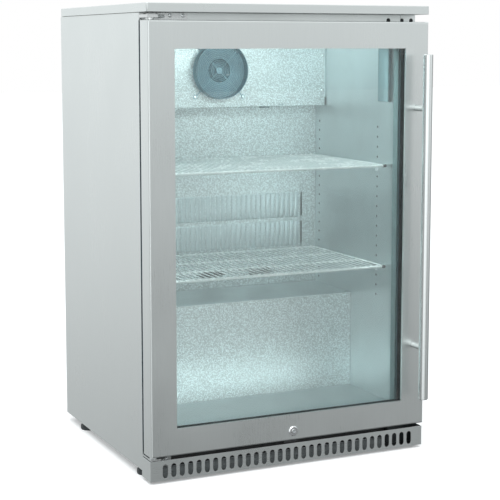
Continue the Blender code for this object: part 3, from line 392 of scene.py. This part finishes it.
STEEL = (0.74, 0.775, 0.77)
mats = {
    "steel_vertical": brushed("steel_vertical", STEEL, 0.30, "Z"),
    "steel_across": brushed("steel_across", STEEL, 0.30, "X"),
    "steel_deep": brushed("steel_deep", STEEL, 0.30, "Y"),
    "plinth_steel": plinth_steel("plinth_steel", STEEL, 0.30),
    "handle_steel": brushed("handle_steel", (0.80, 0.83, 0.83), 0.16, "Z", 0.6),
    "bracket_steel": satin_metal("bracket_steel", (0.70, 0.72, 0.72), 0.28),
    "galvanised": spangled("galvanised", (0.62, 0.65, 0.66), 0.38),
    "liner": satin_metal("liner", (0.68, 0.75, 0.76), 0.36),
    "stucco": stucco("stucco", (0.57, 0.64, 0.65), 0.36),
    "fins": satin_metal("fins", (0.78, 0.80, 0.81), 0.35),
    "coated_wire": moulded("coated_wire", (0.78, 0.85, 0.85), 0.24, 0.04),
    "black_paint_and_gap_shade": moulded("black_paint_and_gap_shade", (0.018, 0.018, 0.02), 0.38, 0.05),
    "guard": moulded("guard", (0.20, 0.33, 0.385), 0.38, 0.05),
    "black_plastic": moulded("black_plastic", (0.022, 0.028, 0.03), 0.42),
    "reveal_plastic": moulded("reveal_plastic", (0.045, 0.095, 0.12), 0.40),
    "breaker_plastic": moulded("breaker_plastic", (0.26, 0.38, 0.39), 0.40),
    "fan_plastic": moulded("fan_plastic", (0.13, 0.23, 0.275), 0.45, 0.05),
    # painted shade: the louvre hoods are the duct panel's sheet, coloured darker so they don't read brighter
    # than the panel
    "louvre": satin_metal("louvre", (0.42, 0.49, 0.505), 0.40),
    "grey_plastic": moulded("grey_plastic", (0.125, 0.195, 0.21), 0.42),
    "seal": moulded("seal", (0.55, 0.66, 0.67), 0.6, 0.1),
    "rubber": moulded("rubber", (0.022, 0.023, 0.025), 0.62, 0.2, 2200),
    "foam": moulded("foam", (0.40, 0.40, 0.36), 0.9, 0.4, 500),
    "copper": satin_metal("copper", (0.78, 0.42, 0.28), 0.27),
    "chrome": satin_metal("chrome", (0.80, 0.82, 0.83), 0.12, 0.02),
    "dark_hole": moulded("dark_hole", (0.01, 0.012, 0.013), 0.6, 0.05),
    "glass": clear_glass("glass", (0.965, 0.99, 0.985)),
    "lens": moulded("lens", (0.85, 0.90, 0.91), 0.35, 0.05),
    "diode": glowing("diode", (0.85, 1.0, 0.98), 4.0),
}

FINISH = {
    "steel_deep": ["worktop"],
    "steel_vertical": ["side_panel_left", "side_panel_right", "door_frame"],
    "steel_across": ["front_fascia", "handle_post_upper", "handle_post_lower"],
    "plinth_steel": ["kick_grille"],
    "handle_steel": ["handle_bar"],
    "bracket_steel": ["hinge_bracket_top", "hinge_bracket_bottom", "lock_cam"],
    "galvanised": ["rear_panel", "machine_cover", "base_pan"],
    "liner": ["liner_left", "liner_right", "liner_ceiling_and_back", "liner_floor", "step_top"],
    "stucco": ["step_front", "duct_panel", "evaporator_cover"],
    "fins": ["evaporator_coil", "condenser_coil", "condenser_fan_blade"],
    "coated_wire": ["shelf_upper", "shelf_lower"],
    # the front sill's black is painted shade for the dark gap under the door; compressor and fan motor are
    # black-painted
    "black_paint_and_gap_shade": ["compressor", "condenser_fan_motor", "front_sill"],
    "fan_plastic": ["evaporator_fan_motor"],
    "black_plastic": ["condensate_tray", "thermostat_knob", "lamp_switch", "hinge_bush_top",
                      "hinge_bush_bottom", "foot_front_left", "foot_rear_left", "foot_front_right",
                      "foot_rear_right"],
    "reveal_plastic": ["door_inner_frame"],
    "dark_hole": ["glass_spacer"],
    "breaker_plastic": ["breaker_strip"],
    "grey_plastic": ["evaporator_drip_tray", "drain_tube", "evaporator_fan_blade", "control_housing",
                     "lamp_housing"],
    "rubber": ["door_gasket", "power_cord_gland"],
    "glass": ["glass_outer", "glass_inner"],
    "foam": ["cabinet_insulation"],
    "copper": ["suction_pipe", "discharge_pipe"],
    "chrome": ["lock_housing", "lock_barrel"],
    "lens": ["lamp_lens"],
}
SOFTENED = {"worktop": 0.5, "side_panel_left": 0.35, "side_panel_right": 0.35, "front_fascia": 0.3,
            "front_sill": 0.3, "kick_grille": 0.2, "hinge_bracket_top": 0.5, "hinge_bracket_bottom": 0.5,
            "evaporator_cover": 0.45, "control_housing": 0.8, "lamp_housing": 0.6, "machine_cover": 0.3,
            "step_top": 0.35, "door_inner_frame": 0.6, "door_gasket": 1.2, "breaker_strip": 0.3,
            "lamp_switch": 0.6, "thermostat_knob": 0.7, "lock_cam": 0.4}  # edge radii in mm


def dress_nodes():
    """Give every node its finish, and ease the sharp edges of the folded and moulded ones."""
    for key, names in FINISH.items():
        for name in names:
            mesh = nodes[name].data
            mesh.materials.clear()
            mesh.materials.append(mats[key])
    for name, radius in SOFTENED.items():
        weld = nodes[name].modifiers.new("weld", "WELD")
        weld.merge_threshold = 0.00002
        edge = nodes[name].modifiers.new("edge", "BEVEL")
        edge.width = radius * MM
        edge.segments = 2
        edge.limit_method = "ANGLE"
        edge.angle_limit = math.radians(40)
        edge.harden_normals = False


# ---- shapes ----
def block(shape, low, high):
    """Box between two corners, added to shape."""
    verts = bmesh.ops.create_cube(shape, size=1)["verts"]
    for vert in verts:
        vert.co = Vector(a + (b - a) * (c + 0.5) for a, b, c in zip(low, high, vert.co))


def rod(shape, start, end, radius, sides=10):
    """Round bar with flat ends, added to shape."""
    start, end = Vector(start), Vector(end)
    turn = (end - start).to_track_quat("Z", "Y").to_matrix().to_4x4()
    matrix = Matrix.Translation((start + end) / 2) @ turn
    bmesh.ops.create_cone(shape, cap_ends=True, segments=sides, radius1=radius, radius2=radius,
                          depth=(end - start).length, matrix=matrix)


def lathe(shape, profile, centre, axis, steps=24):
    """Closed profile of (radius, distance along axis) turned about an axis through centre."""
    turn = {"X": Matrix.Rotation(math.pi / 2, 4, "Y"), "Y": Matrix.Rotation(-math.pi / 2, 4, "X"),
            "Z": Matrix.Identity(4)}[axis]
    matrix = Matrix.Translation(centre) @ turn
    rings = []
    for step in range(steps):
        angle = math.tau * step / steps
        rings.append([shape.verts.new(matrix @ Vector((r * math.cos(angle), r * math.sin(angle), h)))
                      for r, h in profile])
    for ring, following in zip(rings, rings[1:] + rings[:1]):
        for i in range(len(profile)):
            j = (i + 1) % len(profile)
            shape.faces.new((ring[i], following[i], following[j], ring[j]))
    bmesh.ops.remove_doubles(shape, verts=[v for ring in rings for v in ring], dist=1e-6)
    bmesh.ops.recalc_face_normals(shape, faces=shape.faces)


def hoop(shape, centre, radius, wire, steps=48, sides=8):
    """Round wire ring in the XZ plane."""
    profile = [(radius + wire * math.cos(math.tau * i / sides), wire * math.sin(math.tau * i / sides))
               for i in range(sides)]
    lathe(shape, profile, centre, "Y", steps)


def curved_sheet(shape, rows, offset):
    """Closed thin solid from a grid of points and the same grid moved by offset."""
    sides = [[[shape.verts.new(Vector(point) + shift) for point in row] for row in rows]
             for shift in (Vector((0, 0, 0)), Vector(offset))]
    height, width = len(rows), len(rows[0])
    for grid, flip in zip(sides, (False, True)):
        for i in range(height - 1):
            for j in range(width - 1):
                corners = [grid[i][j], grid[i][j + 1], grid[i + 1][j + 1], grid[i + 1][j]]
                shape.faces.new(corners[::-1] if flip else corners)
    rim = ([(0, j) for j in range(width)] + [(i, width - 1) for i in range(1, height)]
           + [(height - 1, j) for j in range(width - 2, -1, -1)] + [(i, 0) for i in range(height - 2, 0, -1)])
    for (i, j), (k, m) in zip(rim, rim[1:] + rim[:1]):
        shape.faces.new((sides[0][k][m], sides[0][i][j], sides[1][i][j], sides[1][k][m]))


def piece(name, shape, material, body, stands_for=(), smooth=False):
    """Make the named piece from a bmesh, riding on a body, perhaps in place of nodes."""
    mesh = bpy.data.meshes.new(name)
    shape.to_mesh(mesh)
    shape.free()
    mesh.materials.append(mats[material])
    mesh.polygons.foreach_set("use_smooth", [smooth] * len(mesh.polygons))
    obj = bpy.data.objects.new(name, mesh)
    bpy.context.scene.collection.objects.link(obj)
    if smooth:
        mesh.set_sharp_from_angle(angle=math.radians(35))
    if stands_for:
        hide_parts(*stands_for)
    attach(obj, body)


def screw(shape, place, axis, outward, radius=3.4 * MM):
    """Pan-head screw seated at place, with a dished middle; outward is +1 or -1 along axis."""
    rise = outward * MM
    lathe(shape, [(0, 0), (radius, 0), (radius, 0.5 * rise), (0.86 * radius, 1.2 * rise),
                  (0.55 * radius, 1.6 * rise), (0.38 * radius, 1.6 * rise), (0.18 * radius, 0.9 * rise),
                  (0, 0.8 * rise)], place, axis, 16)


# ---- fine pieces ----
def add_shelf(level):
    """Coated wire shelf: round frame, close deck wires on top, cross wires under them, dark end tips."""
    node = f"shelf_{level}"
    low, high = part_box(node)
    frame_r, deck_r, cross_r = 2.4 * MM, 1.25 * MM, 2 * MM
    left, right = low.x + frame_r, high.x - frame_r
    front, back = low.y + frame_r, high.y - frame_r
    frame_z, deck_z = low.z + frame_r, high.z - deck_r
    shape = bmesh.new()
    for y in (front, back):
        rod(shape, (left, y, frame_z), (right, y, frame_z), frame_r, 12)
    for x in (left, right):
        rod(shape, (x, front, frame_z), (x, back, frame_z), frame_r, 12)
    rod(shape, (left, front + 11 * MM, frame_z), (right, front + 11 * MM, frame_z), cross_r)
    for part in (1 / 3, 2 / 3):
        y = front + (back - front) * part
        rod(shape, (left, y, deck_z - deck_r - cross_r), (right, y, deck_z - deck_r - cross_r), cross_r)
    count, pitch = 39, 12.8 * MM
    for i in range(count):
        x = (i - (count - 1) / 2) * pitch
        rod(shape, (x, low.y + deck_r, deck_z), (x, high.y - deck_r, deck_z), deck_r, 8)
        rod(shape, (x, low.y + deck_r, deck_z), (x, low.y + deck_r, frame_z - MM), deck_r, 8)
    piece(f"shelf_{level}_wires", shape, "coated_wire", node, [node], True)
    tips = bmesh.new()
    for side, x in ((-1, low.x), (1, high.x)):
        lathe(tips, [(0, 0), (2.2 * MM, 0), (2.95 * MM, -side * 1.2 * MM), (2.95 * MM, -side * 8 * MM),
                     (0, -side * 8 * MM)], (x, front, frame_z), "X", 12)
    piece(f"shelf_{level}_tips", tips, "black_plastic", node, smooth=True)


def add_shelf_clips():
    """Eight bent clips, each hooked into a hole of the side wall with its ledge under a shelf."""
    wall_left, wall_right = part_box("liner_left")[1].x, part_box("liner_right")[0].x
    shape = bmesh.new()
    for level in ("upper", "lower"):
        low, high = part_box(f"shelf_{level}")
        top = low.z - 0.4 * MM
        for wall, side in ((wall_left, 1), (wall_right, -1)):
            for y in (low.y + 45 * MM, high.y - 16 * MM):
                near, far = sorted((wall + side * 0.1 * MM, wall + side * 1.2 * MM))
                block(shape, (near, y - 5 * MM, top - 11 * MM), (far, y + 5 * MM, top))
                near, far = sorted((wall + side * 0.1 * MM, wall + side * 11 * MM))
                block(shape, (near, y - 5 * MM, top - 1.2 * MM), (far, y + 5 * MM, top))
                hook_z = top - 7 * MM
                rod(shape, (wall + side * MM, y, hook_z), (wall - side * 0.9 * MM, y, hook_z), 1.7 * MM)
    piece("shelf_clips", shape, "chrome", "cabinet")


def add_hole_shade_cups():
    """Dark cups behind the shelf holes of both side walls: painted shade that makes the holes read dark."""
    shape = bmesh.new()
    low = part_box("liner_left")[0]
    for wall, side in ((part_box("liner_left")[1].x, -1), (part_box("liner_right")[0].x, 1)):
        for column in HOLE_COLUMNS:
            for i in range(SHELF_HOLES):
                centre = (wall, low.y + column, (SHELF_HOLE_LOW + SHELF_HOLE_PITCH * i) * MM)
                lathe(shape, [(0, side * 0.5 * MM), (2.5 * MM, side * 0.15 * MM), (2.5 * MM, side * 0.9 * MM),
                              (0, side * 0.95 * MM)], centre, "X", 8)
    # painted shade: these cups stand in for the shade inside the holes
    piece("shelf_hole_shade_cups", shape, "dark_hole", "cabinet")


def add_fan_guard():
    """Fine wire guard: close rings on crossed arms that end in lugs screwed to the cover."""
    low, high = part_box("evaporator_fan_guard")
    centre = Vector(((low.x + high.x) / 2, high.y - 0.8 * MM, (low.z + high.z) / 2))
    rim, arm = 61 * MM, 79 * MM
    shape = bmesh.new()
    count = 16
    for i in range(1, count + 1):
        wire = 1.1 * MM if i == count else 0.75 * MM
        hoop(shape, centre - Vector((0, 0.6 * MM, 0)), rim * i / count - wire, wire)
    screws = bmesh.new()
    for angle in (45, 135, 225, 315):
        out = Vector((math.cos(math.radians(angle)), 0, math.sin(math.radians(angle))))
        rod(shape, centre, centre + out * (arm - 3 * MM), MM, 8)
        hoop(shape, centre + out * arm, 3.6 * MM, 0.9 * MM, 16, 6)
        screw(screws, centre + out * arm - Vector((0, 0.5 * MM, 0)), "Y", -1, 3.2 * MM)
    lathe(shape, [(0, -1.2 * MM), (6 * MM, -1.0 * MM), (7 * MM, 0), (0, 0)], centre, "Y", 24)
    piece("evaporator_guard_wires", shape, "guard", "cabinet", ["evaporator_fan_guard"], True)
    piece("evaporator_guard_screws", screws, "chrome", "cabinet", smooth=True)


def rotor(shape, count, hub_r, tip_r, depth, sheet):
    """Fan about the Y axis through the origin: domed hub and swept, cupped blades."""
    lathe(shape, [(0, -depth), (0.55 * hub_r, -depth), (0.9 * hub_r, -0.8 * depth), (hub_r, -0.5 * depth),
                  (hub_r, depth), (0, depth)], (0, 0, 0), "Y", 28)
    for k in range(count):
        rows = []
        for i in range(7):
            r = hub_r * 0.96 + (tip_r - hub_r * 0.96) * i / 6
            reach = (r - hub_r) / (tip_r - hub_r)
            row = []
            for j in range(7):
                v = j / 3 - 1
                angle = math.tau * k / count + 0.40 * reach + v * (0.36 + 0.05 * reach)
                lift = depth * (0.80 - 0.25 * reach) * v + 0.18 * depth * v * v
                row.append((r * math.cos(angle), lift - sheet / 2, r * math.sin(angle)))
            rows.append(row)
        curved_sheet(shape, rows, (0, sheet, 0))


def add_rotors():
    """Both fans in place of their plain blades; the condenser's stays short of its motor's face."""
    for node, count, hub_r, tip_r, depth, body, turn, material, slot in (
            ("evaporator_fan_blade", 7, 17 * MM, 55 * MM, 6.6 * MM, "evaporator_fan", 0,
             "fan_plastic", "grey_plastic"),
            ("condenser_fan_blade", 5, 21 * MM, 92 * MM, 10.5 * MM, "condenser_fan", 90,
             "fins", "liner_aluminium")):
        low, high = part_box(node)
        shape = bmesh.new()
        rotor(shape, count, hub_r, tip_r, depth, MM)
        shape.transform(Matrix.Translation((low + high) / 2) @ Matrix.Rotation(math.radians(turn), 4, "Z"))
        piece(node.replace("blade", "rotor"), shape, material, body, [node], True)


def add_fan_plate():
    """Ring of the fan motor's mounting plate, seen through the guard behind the blades."""
    blade_low, blade_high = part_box("evaporator_fan_blade")
    centre = (0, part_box("evaporator_fan_motor")[0].y, (blade_low.z + blade_high.z) / 2)
    shape = bmesh.new()
    lathe(shape, [(26 * MM, -2 * MM), (26 * MM, -1 * MM), (60 * MM, -1 * MM), (60 * MM, -21 * MM),
                  (59 * MM, -21 * MM), (59 * MM, -2 * MM)], centre, "Y", 48)
    piece("evaporator_fan_plate", shape, "fan_plastic", "cabinet", smooth=True)


def add_louvres():
    """Pressed hoods over the duct panel's slots, open to the right; the last slot of each row has none."""
    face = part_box("duct_panel")[0].y
    count, rise = 37, 2.3 * MM
    shape = bmesh.new()
    section = ((-6.0, 0.0), (-5.0, 0.45), (-3.6, 0.78), (-2.0, 0.96), (0, 1.0), (1.8, 0.98), (3.1, 0.92))
    for i in range(count):
        x = (i - count / 2) * LOUVRE_PITCH
        for low, high in LOUVRE_ROWS:
            rows = []
            for z, part in ((low - 2 * MM, 0.02), (low - 0.8 * MM, 0.7), (low + 1.5 * MM, 1),
                            (high - 1.5 * MM, 1), (high + 0.8 * MM, 0.7), (high + 2 * MM, 0.02)):
                rows.append([(x + u * MM, face - 0.7 * MM - (rise - 0.7 * MM) * h * part, z)
                             for u, h in section])
            curved_sheet(shape, rows, (0, 0.65 * MM, 0))
    bmesh.ops.recalc_face_normals(shape, faces=shape.faces)
    piece("duct_louvres", shape, "louvre", "cabinet", smooth=True)


def add_cover_screws():
    """Screws of the evaporator cover, and the drip slot and sensor clip at its lower edge."""
    low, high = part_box("evaporator_cover")
    shape = bmesh.new()
    for x in (low.x + 7 * MM, high.x - 7 * MM):
        for z in (low.z + 33 * MM, low.z + 110 * MM):
            screw(shape, (x, low.y - 0.1 * MM, z), "Y", -1, 3 * MM)
    piece("evaporator_cover_screws", shape, "chrome", "cabinet", smooth=True)
    marks = bmesh.new()
    block(marks, (143 * MM, low.y - 0.3 * MM, low.z + 3 * MM), (155 * MM, low.y - 0.1 * MM, low.z + 4.6 * MM))
    block(marks, (104 * MM, low.y + 8 * MM, low.z - 4 * MM), (124 * MM, low.y + 20 * MM, low.z - 0.3 * MM))
    piece("evaporator_cover_slots", marks, "grey_plastic", "cabinet")


def add_cover_seals():
    """Soft strips closing the gap between the evaporator cover and the side walls."""
    low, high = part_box("evaporator_cover")
    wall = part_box("liner_right")[0].x
    shape = bmesh.new()
    for side in (-1, 1):
        near, far = sorted((side * (high.x + 0.2 * MM), side * (wall - 0.2 * MM)))
        block(shape, (near, low.y + 0.6 * MM, low.z + 18 * MM), (far, low.y + 3.5 * MM, high.z - MM))
    piece("evaporator_cover_seals", shape, "seal", "cabinet")


def add_hinge_screws():
    """Screws of the hinge brackets; spots are their places across, in mm."""
    shape = bmesh.new()
    for node, spots in (("hinge_bracket_top", (-286, -262, -236, -210)),
                        ("hinge_bracket_bottom", (-286, -250))):
        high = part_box(node)[1]
        face = high.y - 3.2 * MM
        z = high.z - 5 * MM if node.endswith("top") else 34 * MM
        for x in spots:
            screw(shape, (x * MM, face, z), "Y", -1, 3.6 * MM)
    piece("hinge_screws", shape, "chrome", "cabinet", smooth=True)


def add_hole_plugs():
    """Black plugs in the three unused hinge holes above the door."""
    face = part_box("front_fascia")[0].y
    shape = bmesh.new()
    for x in (234.7 * MM, 265.9 * MM, 287.4 * MM):
        lathe(shape, [(0, 0.9 * MM), (4.2 * MM, 0.9 * MM), (4.2 * MM, 0.2 * MM), (3.4 * MM, -0.3 * MM),
                      (2.0 * MM, -0.3 * MM), (1.5 * MM, 0.3 * MM), (0, 0.3 * MM)],
              (x, face, 872 * MM), "Y", 20)
    piece("hinge_hole_plugs", shape, "black_plastic", "cabinet", smooth=True)


def add_rear_screws():
    """Screws round the rear panel and the machine cover, their heads flush with the sheet."""
    shape = bmesh.new()
    for node in ("rear_panel", "machine_cover"):
        low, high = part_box(node)
        for x in (low.x + 12 * MM, 0, high.x - 12 * MM):
            for z in (low.z + 10 * MM, high.z - 12 * MM):
                screw(shape, (x, high.y - 1.6 * MM, z), "Y", 1, 3.4 * MM)
    piece("rear_screws", shape, "galvanised", "cabinet", smooth=True)


def add_lock_face():
    """Raised ring round the keyway of the lock's barrel."""
    low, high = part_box("lock_barrel")
    centre = Vector(((low.x + high.x) / 2, low.y, (low.z + high.z) / 2))
    shape = bmesh.new()
    lathe(shape, [(3.0 * MM, 0.1 * MM), (3.0 * MM, -0.5 * MM), (4.4 * MM, -0.5 * MM), (4.8 * MM, -0.1 * MM),
                  (4.8 * MM, 0.1 * MM)], centre, "Y", 24)
    piece("lock_key_ring", shape, "chrome", "lock", smooth=True)


def add_plinth_corner_blocks():
    """Black blocks behind the end slots of the plinth, the right one wider."""
    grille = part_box("kick_grille")[1]
    shape = bmesh.new()
    for near, far in ((-293 * MM, -262 * MM), (236 * MM, grille.x - 2.5 * MM)):
        block(shape, (near, grille.y - 12 * MM, 6.5 * MM), (far, grille.y - 0.6 * MM, 42 * MM))
        for x in (near + 8 * MM, far - 8 * MM):
            rod(shape, (x, grille.y - 14 * MM, 30 * MM), (x, grille.y - 11 * MM, 30 * MM), 4 * MM, 12)
    piece("plinth_corner_blocks", shape, "black_plastic", "cabinet")


def add_plinth_shade_lip():
    """Upright sheet at the back of the plinth's bottom, seen through the air slots: painted shade for the
    shaded floor under the unit.
    """
    low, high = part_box("kick_grille")
    sheet, depth, rise = 1.2 * MM, 43 * MM, 11.6 * MM
    shape = bmesh.new()
    block(shape, (low.x + 2 * MM, low.y + depth - sheet, low.z + 1.3 * MM),
          (high.x - 2 * MM, low.y + depth, low.z + rise))
    # its dark grey is the plinth material's painted shade inside
    piece("plinth_rear_shade_lip", shape, "plinth_steel", "cabinet")


def add_dial_marks():
    """Light ticks round the thermostat knob."""
    centre = Vector((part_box("control_housing")[0].x, *KNOB))
    lift = Vector((-0.2 * MM, 0, 0))
    shape = bmesh.new()
    for i in range(8):
        angle = math.radians(-45 + 270 * i / 7)
        out = Vector((0, -math.cos(angle), math.sin(angle)))
        if centre.z + out.z * 12.6 * MM < 843 * MM:
            rod(shape, centre + out * 10.4 * MM + lift, centre + out * 12.4 * MM + lift, 0.25 * MM, 6)
    piece("thermostat_marks", shape, "lens", "cabinet")


def add_lamp_diodes():
    """Row of light-emitting chips on their strip, just over the lens."""
    low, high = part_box("lamp_lens")
    shape = bmesh.new()
    middle = (low.y + high.y) / 2
    count, inset, half = 28, 12 * MM, 1.4 * MM
    for i in range(count):
        x = low.x + inset + (high.x - low.x - 2 * inset) * i / (count - 1)
        block(shape, (x - half, middle - half, high.z + 0.05 * MM),
              (x + half, middle + half, high.z + 0.25 * MM))
    piece("lamp_diodes", shape, "diode", "cabinet")


add_camera()
add_floor()
add_world()
add_lights()
dress_nodes()
add_shelf("upper")
add_shelf("lower")
add_shelf_clips()
add_hole_shade_cups()
add_fan_guard()
add_rotors()
add_fan_plate()
add_louvres()
add_cover_screws()
add_cover_seals()
add_hinge_screws()
add_hole_plugs()
add_rear_screws()
add_lock_face()
add_plinth_corner_blocks()
add_plinth_shade_lip()
add_dial_marks()
add_lamp_diodes()
